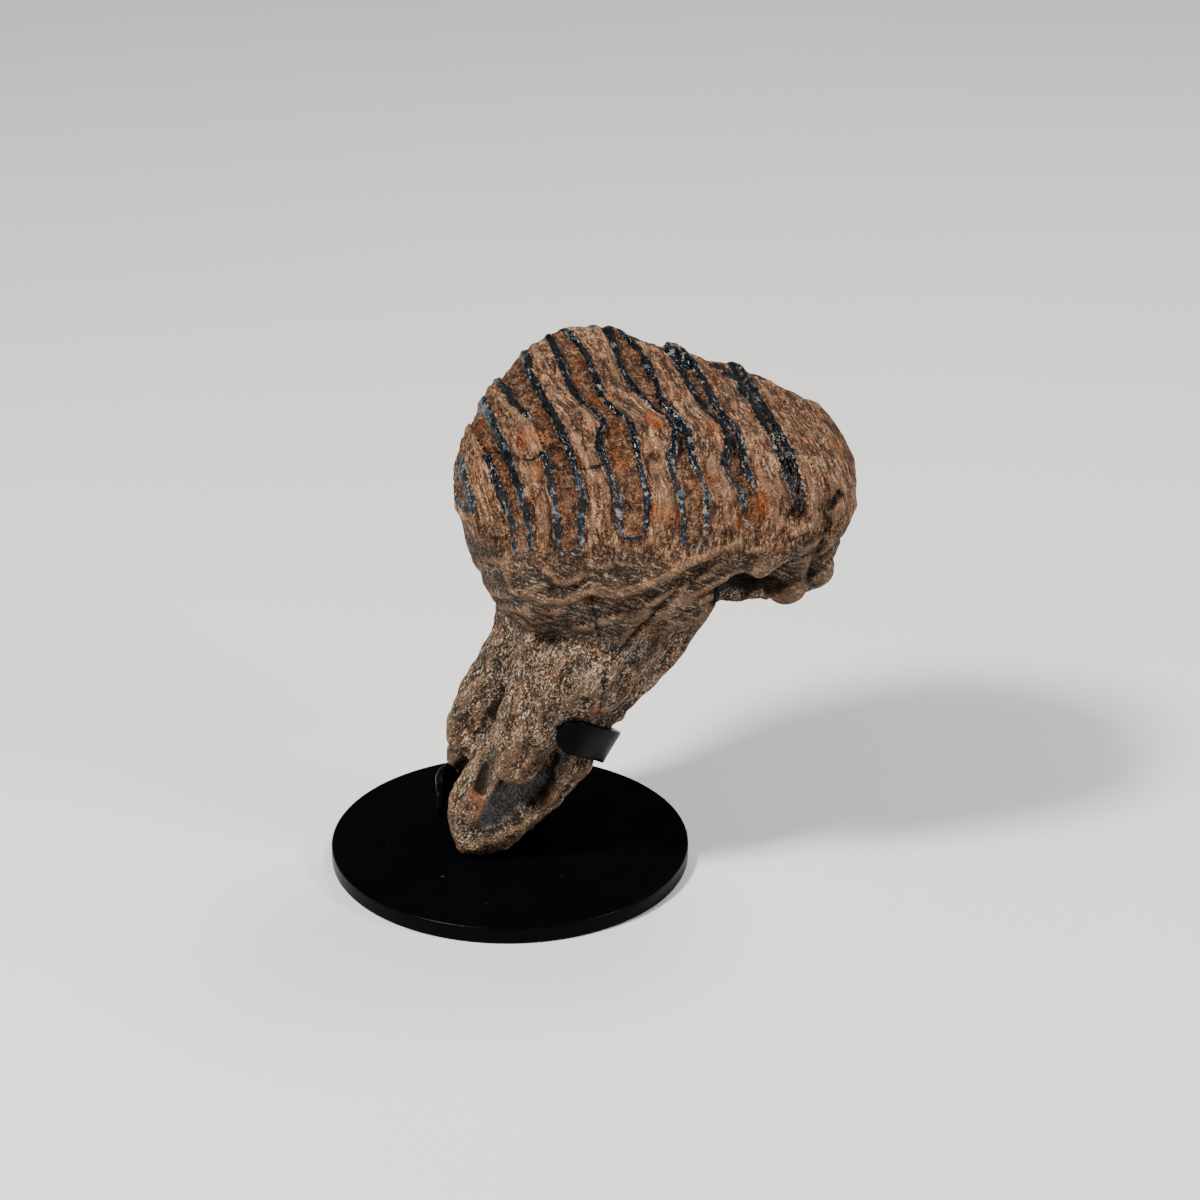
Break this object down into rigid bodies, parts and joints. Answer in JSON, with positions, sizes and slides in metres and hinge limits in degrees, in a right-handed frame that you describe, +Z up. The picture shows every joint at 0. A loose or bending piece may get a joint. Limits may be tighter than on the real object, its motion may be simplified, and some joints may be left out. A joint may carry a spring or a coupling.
{
  "type": "fossil molar on a display stand",
  "caption": "Fossil mammoth molar with wavy enamel plates and a tall leaning root, held upright by bent flat arms on a round black metal stand.",
  "frame": {"origin": "centre of the stand disc's underside, on the surface it stands on", "axes": "+Z up; +X to the right and -Y towards someone who looks at the long side with the enamel loops; the crown lies along X and the root leans down towards -X"},
  "size_m": [0.1447, 0.1, 0.1489],
  "materials": {
    "fossil": "matt fibrous mineralised tooth, tan to brown, with dark glossy enamel ridges",
    "black_metal": "smooth satin black paint"
  },
  "bodies": {
    "root": {"molar": "fossil", "base_disc": "black_metal", "post": "black_metal", "upper_arm": "black_metal", "lower_arm": "black_metal"}
  },
  "joints": []
}
